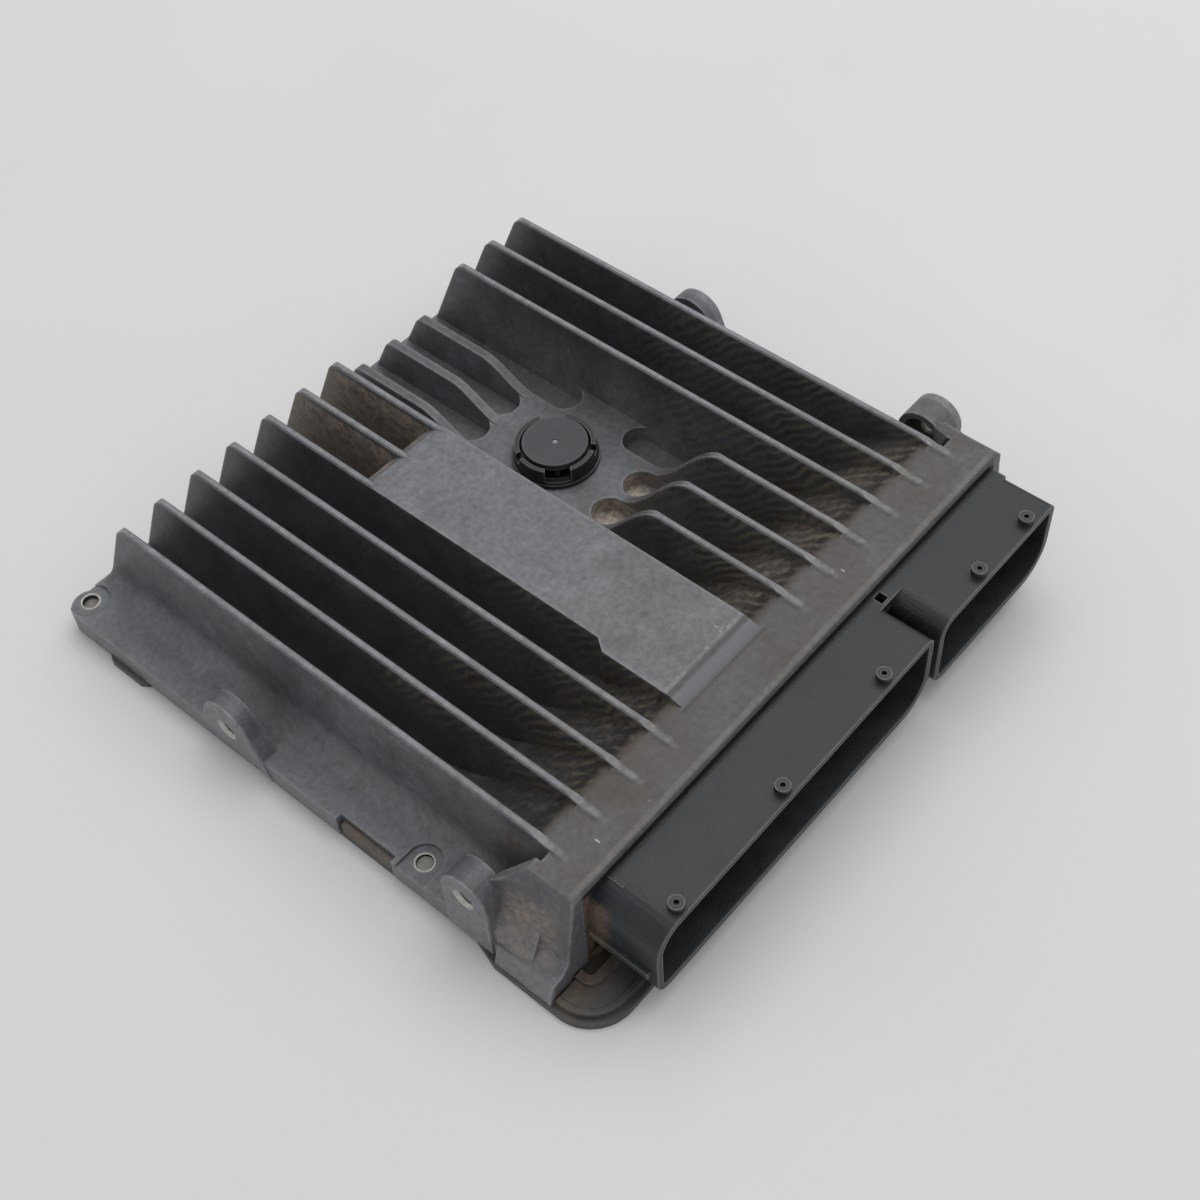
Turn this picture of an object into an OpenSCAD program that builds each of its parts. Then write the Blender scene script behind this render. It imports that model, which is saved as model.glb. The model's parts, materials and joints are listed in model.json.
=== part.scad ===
// Engine control unit: a finned cast cover on a pressed base plate, a two-port
// header at the front, a vent on the cover and a populated board inside.
// Millimetres, origin under the middle of the unit on the table, +Z up,
// -Y to the connector mouths, -X to the left flange.

/* [Case] */
// Width across the two flange edges
case_w = 184; // [180:1:190]
// Length of the cover from its front edge to the back flange edge
cover_l = 172; // [170:1:176]
// Height from the table to the fin tops
case_h = 36; // [35:0.5:40]
// Thickness of the base plate
base_t = 2; // [1.6:0.1:2.2]
// Thickness of the cover flange
flange_t = 6; // [5.5:0.1:6.5]
// Wall thickness of the cover casting
wall_t = 2.5; // [2.2:0.1:2.8]
// Height of the channel floors above the table
floor_z = 10; // [10:0.1:11]
// Corner radius of the flange at the back lugs
lug_r = 5.2; // [5:0.1:6]
// How far the back lugs stand out behind the flange
lug_over = 1; // [0.6:0.1:1.6]
// Length of the side skirts behind the cover front edge
skirt_l = 17; // [15:0.5:17.5]
// How far the skirts stand out past the flange edge
skirt_out = 2.2; // [1.8:0.1:2.4]
// Front corner radius of the base plate
base_corner_r = 12; // [11.5:0.5:13]
// How far the base plate reaches in front of the cover
base_reach = 14.3; // [13:0.1:15]

/* [Deck] */
// Width of the deck across its top
deck_w = 167; // [165:1:168]
// How far the deck lies below the fin tops
deck_drop = 1.5; // [1:0.1:2]
// Depth of the flat deck from front edge to ramp
deck_d = 13; // [11:0.5:15]
// Length of the ramp from the channel floor up to the deck
ramp_l = 52; // [46:1:56]
// Width of the opening for the header
opening_w = 161; // [160:0.5:162]

/* [Fins] */
// Spacing of the fins
fin_pitch = 12.5; // [12.3:0.1:12.6]
// Thickness of a fin at its top
fin_t = 2; // [1.6:0.1:2.4]
// Draft of the fin sides in degrees
fin_draft = 1.3; // [0.8:0.1:1.6]
// Bevel on the fin top edges
fin_bevel = 0.45; // [0.3:0.05:0.6]
// How far the fin tops stop short of the back flange edge
fin_back_in = 13.7; // [13:0.1:15]
// Lean of the fin back ends in degrees
fin_lean = 23.7; // [20:0.1:25]
// Radius of the fin back top corners
fin_back_r = 4.5; // [3:0.5:5]
// Distance of the fin top kink from the front edge
fin_kink = 19; // [17:0.5:21]
// Distance of the fin tail end from the front edge
fin_tail = 11.4; // [10:0.2:12]
// Height of the mound at the front end of each fin
tail_flare = 0.5; // [0.3:0.1:0.8]
// Radius of the hollow from the outer fins to the flange
flank_r = 6.5; // [5.5:0.5:7.5]

/* [Pad] */
// Distance of the pad front edge from the cover front edge
pad_front = 16.5; // [15:0.5:18]
// Length of the pad top
pad_l = 100; // [94:1:104]
// How far the wide front part of the pad stands out
pad_jog = 2.6; // [2:0.1:3]
// Length of the wide front part of the pad
pad_jog_l = 25; // [20:1:30]

/* [Vent] */
// Height of the vent plateau above the table
plateau_z = 15; // [14.5:0.1:15.5]
// Distance of the vent centre from the cover front edge
vent_d = 101.3; // [98:0.1:104]
// Diameter of the vent collar foot
vent_foot_d = 24.3; // [23:0.1:25]
// Diameter of the vent cap
vent_cap_d = 18; // [17:0.1:18.6]
// Top of the vent cap above the plateau
vent_h = 6.1; // [5.5:0.1:6.5]
// Diameter of the hole for the vent stem
vent_bore_d = 12; // [11:0.1:12.5]
// Height of the three low fins round the vent
low_fin_z = 21.5; // [20:0.5:23]

/* [Ears] */
// How far the left ear faces stand out past the flange edge
ear_proud = 0.5; // [0.3:0.1:1]
// How far the right ear faces stand out past the flange edge
ear_proud_r = 2.2; // [1.8:0.1:2.4]
// Thickness of the threaded wall of an ear
ear_t = 5.2; // [4.8:0.1:5.6]
// Wall diameter of the threaded ear holes
thread_d = 5; // [4.8:0.1:5.4]
// Diameter of the bevel at each ear hole mouth
thread_mouth_d = 6.4; // [6:0.1:7]
// Distance of the back ear hole from the cover front edge
ear_back_y = 106.7; // [104:0.1:109]
// Height of the back ear hole
ear_back_z = 12.7; // [12.4:0.1:13.2]
// Top radius of the back ears
ear_back_r = 8; // [7.5:0.1:8.5]
// Distance of the left front ear hole from the cover front edge
ear_front_y = 25.6; // [25:0.1:26.5]
// Height of the left front ear hole
ear_front_z = 20.4; // [19.5:0.1:21]
// Distance of the right front ear hole from the cover front edge
ear_front_y_r = 24.6; // [24.2:0.1:26]
// Height of the right front ear hole
ear_front_z_r = 23.4; // [22:0.1:24]
// Top radius of the front ears
ear_front_r = 7; // [6.6:0.1:7.2]
// Radius of the recess behind the front ear threads
ear_recess_r = 5.2; // [4.8:0.1:5.4]

/* [Header] */
// How far the port mouths stand in front of the cover
port_reach = 19; // [18:0.5:21]
// Left edge of the large port from the middle
large_x = -78.3; // [-79:0.1:-77]
// Width of the large port
large_w = 104.3; // [103:0.1:105]
// Gap between the two ports
port_gap = 3.2; // [2.5:0.1:4]
// Width of the small port
small_w = 50.3; // [49:0.1:51]
// Height of the port bottoms above the table
port_z = 7.7; // [7:0.1:8.5]
// Height of both ports
port_h = 24; // [23:0.1:24.2]
// Wall thickness of the ports
port_wall = 1.8; // [1.6:0.1:2]
// Depth of the ports behind their mouths
port_depth = 14.5; // [13:0.5:15]
// Depth of the plain strip in front of the cover edge
strip_d = 4.5; // [4:0.1:5]
// Diameter of the small pegs near the mouths
peg_d = 3.9; // [3.4:0.1:4.2]
// Height of the pegs
peg_h = 2.1; // [1.6:0.1:2.4]
// Side of the square hole between the ports
latch_hole = 2.6; // [2.2:0.1:3]

/* [Pins] */
// Spacing of the pins
pin_pitch = 3.6; // [3.5:0.05:3.7]
// Side of a square pin
pin_t = 1; // [0.8:0.1:1.1]
// Number of pin columns in the large port
large_cols = 24; // [20:1:25]
// Number of pin columns in the small port
small_cols = 9; // [7:1:10]
// Height of the lowest pin row
pin_z = 13.5; // [13:0.1:14]
// Spacing of the pin rows
pin_row = 5; // [4.6:0.1:5.2]
// How far the pins stand into the ports
pin_reach = 7; // [6:0.1:7]

/* [Board] */
// Thickness of the circuit board
board_t = 1.6; // [1.4:0.1:1.8]
// Gap between the base plate and the board
board_gap = 1.6; // [1.5:0.1:1.8]
// Width of the board
board_w = 142; // [138:1:144]
// Radius of a board screw
board_screw_r = 1.5; // [1.3:0.1:1.6]
// Radius of a cover screw
cover_screw_r = 2.6; // [2.4:0.1:2.8]
// Height of the countersunk head of a cover screw
screw_head = 1.4; // [1.2:0.1:1.5]
// Depth of the open recess round each side screw end
screw_recess = 0.9; // [0.7:0.1:1.1]
// Depth of the shallow recess round each lug screw end
lug_recess = 0.4; // [0.3:0.1:0.6]
// Width of the open recess round each side screw end
recess_w = 9.2; // [8.6:0.1:9.8]
// Gap from the flange top down to the screw ends
screw_short = 1.6; // [1.3:0.1:2]
// Height of the cover seal bead
seal_t = 1.2; // [1:0.1:1.3]
// Width of the cover seal bead
seal_w = 2.4; // [2:0.1:2.6]
// Distance of the middle of the bead from the side of the case
seal_in = 11.9; // [11.6:0.1:12.2]

/* [Hidden] */
$fn = 48;
eps = 0.02;
total_l = port_reach + cover_l + lug_over;
y_mouth = -total_l / 2;
y_front = y_mouth + port_reach;
y_back = y_front + cover_l;
flange_z = base_t + flange_t;
deck_z = case_h - deck_drop;
half_w = case_w / 2;
fin_shift = -0.5;
full_fins = [1, 2, 3, 4, 11, 12, 13];
pad_fins = [5, 6, 7];
low_fins = [8, 9, 10];
fin_foot = floor_z - 1.5;
fin_half_foot = fin_t / 2 + (case_h - fin_foot) * tan(fin_draft);
side_l = fin_x(1) - fin_half_foot;
side_r = fin_x(13) + fin_half_foot;
ceil_z = floor_z - wall_t;
y_deck = y_front + deck_d;
y_ramp = y_deck + ramp_l;
y_fin_back = y_back - fin_back_in;
y_pad = y_front + pad_front;
y_pad_back = y_pad + pad_l;
pad_l_x = fin_x(5) - fin_t / 2;
pad_r_x = fin_x(7) + fin_t / 2;
vent_x = fin_x(9);
vent_y = y_front + vent_d;
ear_b_y = y_front + ear_back_y;
ear_f_y = y_front + ear_front_y;
ear_f_y_r = y_front + ear_front_y_r;
face_l = half_w + ear_proud;
face_r = half_w + ear_proud_r;
ear_foot = base_t + 0.4;
board_z = base_t + board_gap;
board_top = board_z + board_t;
board_y0 = y_front + 6;
board_y1 = y_back - 12;
post_spots = [[-62, y_back - 19], [62, y_back - 19], [-62, 32], [62, 32], [-62, -6], [62, -6]];
lug_spots = [for (s = [-1, 1]) [s * (half_w - 6), y_back - 3.2]];
side_spots = [for (s = [-1, 1]) [s * (half_w - 5.4), y_front + 45.4]];
screw_spots = concat(lug_spots, side_spots);
port_top = port_z + port_h;
large_x1 = large_x + large_w;
small_x = large_x1 + port_gap;
small_x1 = small_x + small_w;
plate_w = opening_w - 2;
plate_y0 = y_front + 1;
plate_y1 = plate_y0 + 3.5;
plate_top = deck_z - wall_t - 1;
port_back = y_mouth + port_depth;
pin_tip = port_back - pin_reach;
peg_y = y_mouth + 2.6;
large_pegs = [large_x + 9.8, large_x + 47.6, large_x + 86.8];
small_pegs = [small_x + 19.4, small_x + 40.5];
large_pin_x = large_x + large_w / 2 - pin_pitch * (large_cols - 1) / 2 - 0.6;
small_pin_x = small_x + small_w / 2 - pin_pitch * (small_cols - 1) / 2 - 0.6;
mosfet_y = y_back - 23;
driver_x = 48;
cap_x = (pad_l_x + pad_r_x) / 2;

// Middle of fin k, counted from the left
function fin_x(k) = fin_shift + fin_pitch * (k - 7);

// Rise from 0 to 1 that starts and ends level
function ease(t) = (1 - cos(180 * t)) / 2;

// Points of a level-ended ramp between two points
function ramp(a, b, n) =
    [for (i = [0 : n]) [a[0] + (b[0] - a[0]) * i / n, a[1] + (b[1] - a[1]) * ease(i / n)]];

// Points on an arc from angle a0 to a1
function arc(c, r, a0, a1, n) =
    [for (i = [0 : n]) c + r * [cos(a0 + (a1 - a0) * i / n), sin(a0 + (a1 - a0) * i / n)]];

// Rectangle with its own radius at top left, top right, bottom right and bottom left
function port_outline(x0, z0, x1, z1, r) = concat(
    arc([x0 + r[0], z1 - r[0]], r[0], 180, 90, 8),
    arc([x1 - r[1], z1 - r[1]], r[1], 90, 0, 6),
    arc([x1 - r[2], z0 + r[2]], r[2], 0, -90, 8),
    arc([x0 + r[3], z0 + r[3]], r[3], -90, -180, 6));

// Back end of a fin at height z
function lean_y(z) = y_fin_back + (case_h - z) * tan(fin_lean);

// Angle where a line from point p touches a circle of radius r round the origin
function touch_angle(p, r) = atan2(p[1], p[0]) + acos(r / norm(p));

// Profile in Y and Z drawn out along X
module yz_prism(pts, x0, x1) {
    translate([x0, 0, 0]) rotate([90, 0, 90]) linear_extrude(x1 - x0) polygon(pts);
}

// Profile in X and Z drawn out along Y
module xz_prism(pts, y0, y1) {
    translate([0, y1, 0]) rotate([90, 0, 0]) linear_extrude(y1 - y0) polygon(pts);
}

module box(a, b) {
    translate(a) cube(b - a);
}

// The same piece on the left and the right
module both_sides() {
    children();
    mirror([1, 0, 0]) children();
}

// Side view of a high fin from its leaning back end to a front end that drops at kink and stops at tail
function high_fin_side(kink, tail) = concat(
    [[lean_y(fin_foot), fin_foot]],
    arc([lean_y(case_h) - fin_back_r * 0.65, case_h - fin_back_r], fin_back_r, 25, 90, 6),
    [[kink, case_h], [tail, deck_z - 0.1], [tail, fin_foot]]);

// Side view of a fin that ducks under the vent
function low_fin_side() = concat(
    [[lean_y(fin_foot), fin_foot]],
    arc([lean_y(low_fin_z) - 2.6, low_fin_z - 3], 3, 25, 90, 4),
    ramp([vent_y + 38, low_fin_z], [vent_y + 20, plateau_z], 14),
    [[vent_y - 20, plateau_z]],
    ramp([vent_y - 23, plateau_z], [vent_y - 48, case_h], 16),
    [[y_front + fin_kink, case_h], [y_front + fin_tail, deck_z - 0.1], [y_front + fin_tail, fin_foot]]);

// Cross section of a fin with its bevelled top
module fin_section(k, top) {
    h = fin_half_foot;
    t = h - (top - fin_foot) * tan(fin_draft);
    translate([fin_x(k), 0])
        polygon([[-h, fin_foot], [-t, top - fin_bevel], [-t + fin_bevel, top],
            [t - fin_bevel, top], [t, top - fin_bevel], [h, fin_foot]]);
}

module fin_group(ids, side) {
    intersection() {
        translate([0, y_back, 0]) rotate([90, 0, 0]) linear_extrude(cover_l)
            for (k = ids) fin_section(k, case_h);
        yz_prism(side, side_l - 1, side_r + 1);
    }
}

// Low mounds in which the fins run out on the deck: a round front end and a foot on each inner side
module tail_flares() {
    foot = fin_t + 0.4;
    top = fin_t / 2;
    h = 0.3 + tail_flare;
    tails = concat(full_fins, low_fins);
    for (k = tails) translate([fin_x(k), y_front + fin_tail - 0.6, deck_z - 0.3]) {
        cylinder(h = h, r1 = foot, r2 = top);
        xz_prism([[k > 1 ? -foot : -top, 0], [-top, h], [top, h], [k < 13 ? foot : top, 0]], 0, 4.8);
    }
}

// Floor, ramp and deck between the outer fins
module cover_body() {
    top = concat(
        [[lean_y(base_t + 6), base_t], [lean_y(floor_z), floor_z]],
        ramp([y_ramp, floor_z], [y_deck, deck_z], 26),
        [[y_front, deck_z], [y_front, base_t]]);
    yz_prism(top, side_l + 1, side_r - 1);
}

// Hollow curve from the outer fins down to the flange
module flank(x) {
    wall_x = x + (flange_z + flank_r - fin_foot) * tan(fin_draft);
    pts = concat(
        [[x + 1.2, flange_z - 1], [x + 1.2, flange_z + flank_r]],
        arc([wall_x - flank_r, flange_z + flank_r], flank_r, 0, -90, 12),
        [[wall_x - flank_r, flange_z - 1]]);
    intersection() {
        xz_prism(pts, y_front + 12, y_back);
        yz_prism(full_fin_side_low(), x - flank_r - 1, x + 2);
    }
}
function full_fin_side_low() =
    [[lean_y(2), 2], [lean_y(case_h), case_h], [y_front + 10, case_h], [y_front + 10, 2]];

// Deck end outside the outer fin with its hollow foot
module deck_end() {
    top = deck_w / 2;
    pts = concat(
        [[60, flange_z - 1], [60, deck_z], [top - 0.8, deck_z], [top, deck_z - 0.8],
            [top + 0.4, deck_z - 5], [top + 2.2, 19]],
        arc([half_w - 0.5, 13.6], 5, 180, 270, 5),
        [[half_w - 0.5, flange_z - 1]]);
    xz_prism(pts, y_front, y_deck - 0.5);
}

// Saddle that carries the deck edge down to a front ear, with a hollow outer panel
module ear_saddle(y, z) {
    d = deck_w / 2;
    r = ear_front_r;
    panel_r = 33;
    difference() {
        hull() {
            box([d - 4, y_deck - 3, flange_z], [d - 0.8, y_deck + 1, deck_z - 0.2]);
            box([d - 4, y_deck - 3, flange_z], [d + 1.3, y_deck + 2, deck_z - 4.5]);
            box([half_w - 5.5, y - r + 1.2, flange_z], [half_w - 1.7, y - r + 5, z + r - 3]);
            box([half_w - 6, y_deck - 5, flange_z - 1], [half_w - 0.3, y - r + 2, flange_z + 0.6]);
        }
        translate([half_w + 28.5, y - r, flange_z + 20.8]) rotate([90, 0, -15]) cylinder(h = 30, r = panel_r);
    }
}

// Outline of an ear: a round top on two flanks that end at the feet, each given as a
// distance from the middle and a height
function ear_outline(c, r, back, front) =
    let (pb = [back[0], back[1] - c[1]], pf = [front[0], front[1] - c[1]])
    let (ab = touch_angle(pb, r))
    let (af = 180 - touch_angle([-pf[0], pf[1]], r))
    concat([c + pb], arc(c, r, ab, af, 14), [c + pf]);

module front_ear(y, z, face) {
    r = ear_front_r;
    yz_prism(ear_outline([y, z], r, [r, ear_foot], [-r, ear_foot]), half_w - 7, face);
    ear_saddle(y, z);
}

module back_ear(face) {
    yz_prism(ear_outline([ear_b_y - 0.4, ear_back_z + 1.3], ear_back_r, [11.4, flange_z], [-13.3, ear_foot]),
        face - ear_t, face);
}

// Threaded hole along X with a bevelled mouth
module ear_hole(y, z, face) {
    mouth = (thread_mouth_d - thread_d) / 2;
    translate([half_w - 12, y, z]) rotate([0, 90, 0]) cylinder(h = 20, d = thread_d);
    translate([face - mouth, y, z]) rotate([0, 90, 0])
        cylinder(h = mouth + eps, d1 = thread_d, d2 = thread_mouth_d + 2 * eps);
}

// Round recess that ends where the threaded wall of a front ear begins
module ear_recess(y, z, face) {
    translate([half_w - 12, y, z]) rotate([0, 90, 0])
        cylinder(h = face - ear_t - half_w + 12, r = ear_recess_r);
}

module flange_outline() {
    lug_y = y_back + lug_over - lug_r;
    translate([-half_w, y_front]) square([case_w, lug_y - y_front]);
    translate([-half_w + lug_r, lug_y - 12]) square([case_w - 2 * lug_r, y_back - lug_y + 12]);
    both_sides() translate([half_w - lug_r, lug_y]) circle(lug_r);
}

// Side skirt that stands out below the panel of the front corner
module skirt() {
    foot = half_w + skirt_out - 0.4;
    xz_prism([[half_w - 6, base_t], [foot, base_t], [foot, base_t + 0.8], [half_w + 0.2, flange_z + 0.6],
        [half_w - 6, flange_z + 0.6]], y_front, y_front + skirt_l);
}

// Recess round a side screw end, open to the flange edge
module side_recess(p) {
    out = p[0] > 0 ? 0 : -10;
    translate([p[0], p[1], flange_z - screw_recess]) linear_extrude(screw_recess + 1) {
        circle(d = recess_w);
        translate([out, -recess_w / 2]) square([10, recess_w]);
    }
}

module flange() {
    difference() {
        translate([0, 0, base_t]) linear_extrude(flange_t) flange_outline();
        for (s = [-1, 1]) translate([s * half_w, y_front + 60.7, 0])
            box([-2, -9.2, 0], [2, 9.2, flange_z + 1]);
    }
}

// Raised floor round the vent with round-ended channels cut in from both sides
module plateau() {
    gap_r = fin_pitch / 2 - fin_half_foot + 0.4;
    front_ends = [-19.4, -19.4, -20, -9.4];
    back_ends = [20.7, 20.7, 20.7, 8.3];
    translate([0, 0, floor_z - 1]) linear_extrude(plateau_z - floor_z + 1)
        difference() {
            translate([fin_x(7), vent_y - 27]) square([4 * fin_pitch, 54]);
            for (i = [0 : 3]) translate([fin_x(7.5 + i), vent_y]) {
                translate([0, front_ends[i] - gap_r]) circle(gap_r);
                translate([-gap_r, -30]) square([2 * gap_r, 30 + front_ends[i] - gap_r]);
                translate([0, back_ends[i] + gap_r]) circle(gap_r);
                translate([-gap_r, back_ends[i] + gap_r]) square([2 * gap_r, 30]);
            }
        }
}

// Flat field that closes two channels at the middle of the cover
module pad() {
    plan = [[pad_l_x, y_pad_back + 30], [pad_r_x, y_pad_back + 30], [pad_r_x, y_pad - 4],
        [pad_l_x - pad_jog, y_pad - 4], [pad_l_x - pad_jog, y_pad + pad_jog_l - 3.5],
        [pad_l_x, y_pad + pad_jog_l]];
    side = concat(
        [[y_pad_back + 26, floor_z - 1]],
        ramp([y_pad_back + 26, floor_z], [y_pad_back, case_h], 18),
        [[y_pad + 1.8, case_h], [y_pad + 1.1, case_h - 0.1], [y_pad - 2.3, deck_z + 0.3],
            [y_pad - 3, deck_z - 0.2], [y_pad - 3, floor_z - 1]]);
    intersection() {
        linear_extrude(case_h + 1) polygon(plan);
        yz_prism(side, pad_l_x - 5, pad_r_x + 1);
    }
}

// Bevel along the whole front edge of the deck
module deck_edge_cut() {
    b = 0.8;
    yz_prism([[y_front - 1, deck_z - b - 1], [y_front + b + 1, deck_z + 1], [y_front - 1, deck_z + 1]],
        -half_w, half_w);
}

// Room inside the casting
module cover_hollow() {
    main = concat(
        [[y_back - 9.5, base_t - 1], [y_back - 9.5, ceil_z]],
        ramp([y_ramp - 1.5, ceil_z], [y_deck - 1.5, deck_z - wall_t], 10),
        [[y_front - 1, deck_z - wall_t], [y_front - 1, base_t - 1]]);
    yz_prism(main, side_l + wall_t, side_r - wall_t);
    box([-opening_w / 2, y_front - 1, base_t - 1], [opening_w / 2, y_front + 9.5, deck_z - wall_t]);
    box([pad_l_x + wall_t, y_pad + 3, base_t - 1], [pad_r_x - wall_t, y_pad_back - 4, case_h - wall_t]);
    box([vent_x - 20, vent_y - 15, base_t - 1], [vent_x + 12, vent_y + 15, plateau_z - wall_t]);
}

module post() {
    translate([0, 0, board_top]) cylinder(h = ceil_z - board_top + 1, r = 4);
}

module seal_ring_2d(grow) {
    w = case_w - 2 * seal_in + grow;
    l = cover_l - 7 + grow;
    translate([-w / 2 - 0.5, y_front + 1 - grow / 2]) {
        translate([5, 0]) square([w - 10, l]);
        translate([0, 5]) square([w, l - 10]);
        for (x = [5, w - 5], y = [5, l - 5]) translate([x, y]) circle(5);
    }
}

module seal_bead() {
    translate([0, 0, base_t]) linear_extrude(seal_t) difference() {
        seal_ring_2d(seal_w);
        seal_ring_2d(-seal_w);
    }
}

// Aluminium casting with fins, deck, pad, ears and the seat for the vent
module cover() {
    color("#3a3b3f") difference() {
        union() {
            difference() {
                union() {
                    flange();
                    cover_body();
                    flank(side_l);
                    translate([side_r + side_l, 0, 0]) mirror([1, 0, 0]) flank(side_l);
                    both_sides() deck_end();
                    both_sides() skirt();
                    fin_group(full_fins, high_fin_side(y_front + fin_kink, y_front + fin_tail));
                    fin_group(pad_fins, high_fin_side(y_pad + 1, y_pad - 1.5));
                    fin_group(low_fins, low_fin_side());
                    tail_flares();
                    plateau();
                    pad();
                    mirror([1, 0, 0]) front_ear(ear_f_y, ear_front_z, face_l);
                    front_ear(ear_f_y_r, ear_front_z_r, face_r);
                    mirror([1, 0, 0]) back_ear(face_l);
                    back_ear(face_r);
                }
                cover_hollow();
                deck_edge_cut();
            }
            for (p = post_spots) translate(p) post();
        }
        for (p = post_spots) translate([p[0], p[1], board_top - 1])
            cylinder(h = 1 + ceil_z - board_top + 1.2, r = board_screw_r);
        mirror([1, 0, 0]) ear_hole(ear_b_y, ear_back_z, face_l);
        ear_hole(ear_b_y, ear_back_z, face_r);
        mirror([1, 0, 0]) ear_hole(ear_f_y, ear_front_z, face_l);
        ear_hole(ear_f_y_r, ear_front_z_r, face_r);
        mirror([1, 0, 0]) ear_recess(ear_f_y, ear_front_z, face_l);
        ear_recess(ear_f_y_r, ear_front_z_r, face_r);
        for (p = screw_spots) translate([p[0], p[1], 0]) cylinder(h = 20, r = cover_screw_r);
        for (p = lug_spots) translate([p[0], p[1], flange_z - lug_recess]) cylinder(h = 12, r = lug_r + 0.1);
        for (p = side_spots) side_recess(p);
        translate([vent_x, vent_y, 0]) cylinder(h = 30, d = vent_bore_d);
        translate([vent_x, vent_y, plateau_z - 2]) cylinder(h = 10, r = vent_bore_d / 2 + 2.2);
        seal_bead();
    }
}

// Steps of the tray: outer inset, inner inset and height above the plate
tray_steps = [[1.6, 3.1, 2], [3.1, 8.5, 1.7], [8.5, 10.8, 3.2]];

// Front tray of the base plate, drawn in by inset
module tray_outline(inset) {
    y0 = y_front - base_reach + inset;
    y1 = y_front + skirt_l;
    r = base_corner_r - inset;
    w = 2 * (half_w + skirt_out - inset);
    translate([-w / 2 + r, y0]) square([w - 2 * r, y1 - y0]);
    translate([-w / 2, y0 + r]) square([w, y1 - y0 - r]);
    for (s = [-1, 1]) translate([s * (w / 2 - r), y0 + r]) circle(r);
}

// Sides of the base plate: the taper behind the tray and the locating tab
module base_side() {
    tray_end = y_front + skirt_l;
    tab_y = y_front + 140.6;
    polygon([[half_w - 6, tray_end - 1], [half_w + skirt_out, tray_end - 1], [half_w + skirt_out, tray_end],
        [half_w - 0.5, tray_end + 9], [half_w - 6, tray_end + 9]]);
    polygon([[half_w - 4, tab_y], [half_w, tab_y], [half_w + 1.2, tab_y + 2], [half_w + 1.2, tab_y + 13],
        [half_w, tab_y + 15], [half_w - 4, tab_y + 15]]);
}

// Countersunk head of a cover screw, run on below the table by the given length
module screw_cone(below) {
    translate([0, 0, -below])
        cylinder(h = screw_head + below, r1 = cover_screw_r + screw_head + below, r2 = cover_screw_r);
}

// Pressed base with a stepped tray at the front and bent locating tabs
module base_plate() {
    color("#33343a") difference() {
        union() {
            linear_extrude(base_t) {
                tray_outline(0);
                intersection() {
                    translate([-half_w + 0.5, y_front]) square([case_w - 1, cover_l + lug_over]);
                    flange_outline();
                }
                both_sides() base_side();
            }
            for (step = tray_steps) difference() {
                linear_extrude(base_t + step[2]) difference() {
                    tray_outline(step[0]);
                    tray_outline(step[1]);
                }
                box([-case_w, y_front - 0.5, -1], [case_w, y_back, 20]);
            }
            for (s = [-1, 1]) translate([s * (half_w - 1.25), y_front + 60.7, 0])
                box([-0.75, -8.2, 0], [0.75, 8.2, flange_z - 1.8]);
        }
        for (p = screw_spots) translate([p[0], p[1], 0]) {
            translate([0, 0, -1]) cylinder(h = base_t + 2, r = cover_screw_r);
            screw_cone(eps);
        }
    }
}

module port_shell(x0, x1, r) {
    xz_prism(port_outline(x0, port_z, x1, port_top, r), y_mouth, plate_y0 + 0.2);
}

module port_room(x0, x1, r) {
    w = port_wall;
    inner = [for (v = r) max(v - w, 0.8)];
    xz_prism(port_outline(x0 + w, port_z + w, x1 - w, port_top - w, inner), y_mouth - 1, port_back);
}

large_radii = [8, 2.5, 10, 4];
small_radii = [5.5, 2, 10, 4];

// Every pin spot as column x and row number
module at_pins(x0, cols) {
    for (c = [0 : cols - 1], row = [0 : 2]) translate([x0 + c * pin_pitch, 0, 0]) children(row);
}

function row_z(row) = pin_z + row * pin_row;
function leg_y(row) = plate_y1 + 4 + row * 3;

module pin(row) {
    h = pin_t / 2;
    box([-h, pin_tip, row_z(row) - h], [h, leg_y(row) + h, row_z(row) + h]);
    box([-h, leg_y(row) - h, board_z - 0.8], [h, leg_y(row) + h, row_z(row)]);
}

module pin_slot(row) {
    h = pin_t / 2;
    box([-h, port_back - 1, row_z(row) - h], [h, plate_y1 + 1, row_z(row) + h]);
}

module pin_eye(row) {
    h = pin_t / 2;
    box([-h, leg_y(row) - h, board_z - 1], [h, leg_y(row) + h, board_top + 1]);
}

// Moulded header with both ports, the plain strip and the little pegs
module connector_header() {
    color("#3f4246") difference() {
        union() {
            box([-plate_w / 2, plate_y0, base_t + seal_t], [plate_w / 2, plate_y1, plate_top]);
            box([large_x + 6, y_front - strip_d, port_top - 3.5], [small_x1, plate_y0 + 0.2, port_top]);
            port_shell(large_x, large_x1, large_radii);
            port_shell(small_x, small_x1, small_radii);
            box([large_x - 1.2, y_mouth + 2, port_z + 7.4], [large_x + 2, plate_y0 + 0.2, port_z + 9]);
            for (x = concat(large_pegs, small_pegs)) {
                translate([x, peg_y, port_top - 0.5]) cylinder(h = peg_h + 0.5, d = peg_d);
                translate([x, peg_y, port_z - peg_h * 0.6]) cylinder(h = peg_h, d = peg_d);
            }
        }
        port_room(large_x, large_x1, large_radii);
        port_room(small_x, small_x1, small_radii);
        for (x = concat(large_pegs, small_pegs))
            translate([x, peg_y, port_top + peg_h - 1.2]) cylinder(h = 2, r = 0.7);
        translate([large_x1 + port_gap / 2, y_front - 2.2, port_top])
            cube([latch_hole, latch_hole, 12], center = true);
        at_pins(large_pin_x, large_cols) {
            pin_slot(0);
            pin_slot(1);
            pin_slot(2);
        }
        at_pins(small_pin_x, small_cols) {
            pin_slot(0);
            pin_slot(1);
            pin_slot(2);
        }
    }
}

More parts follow.
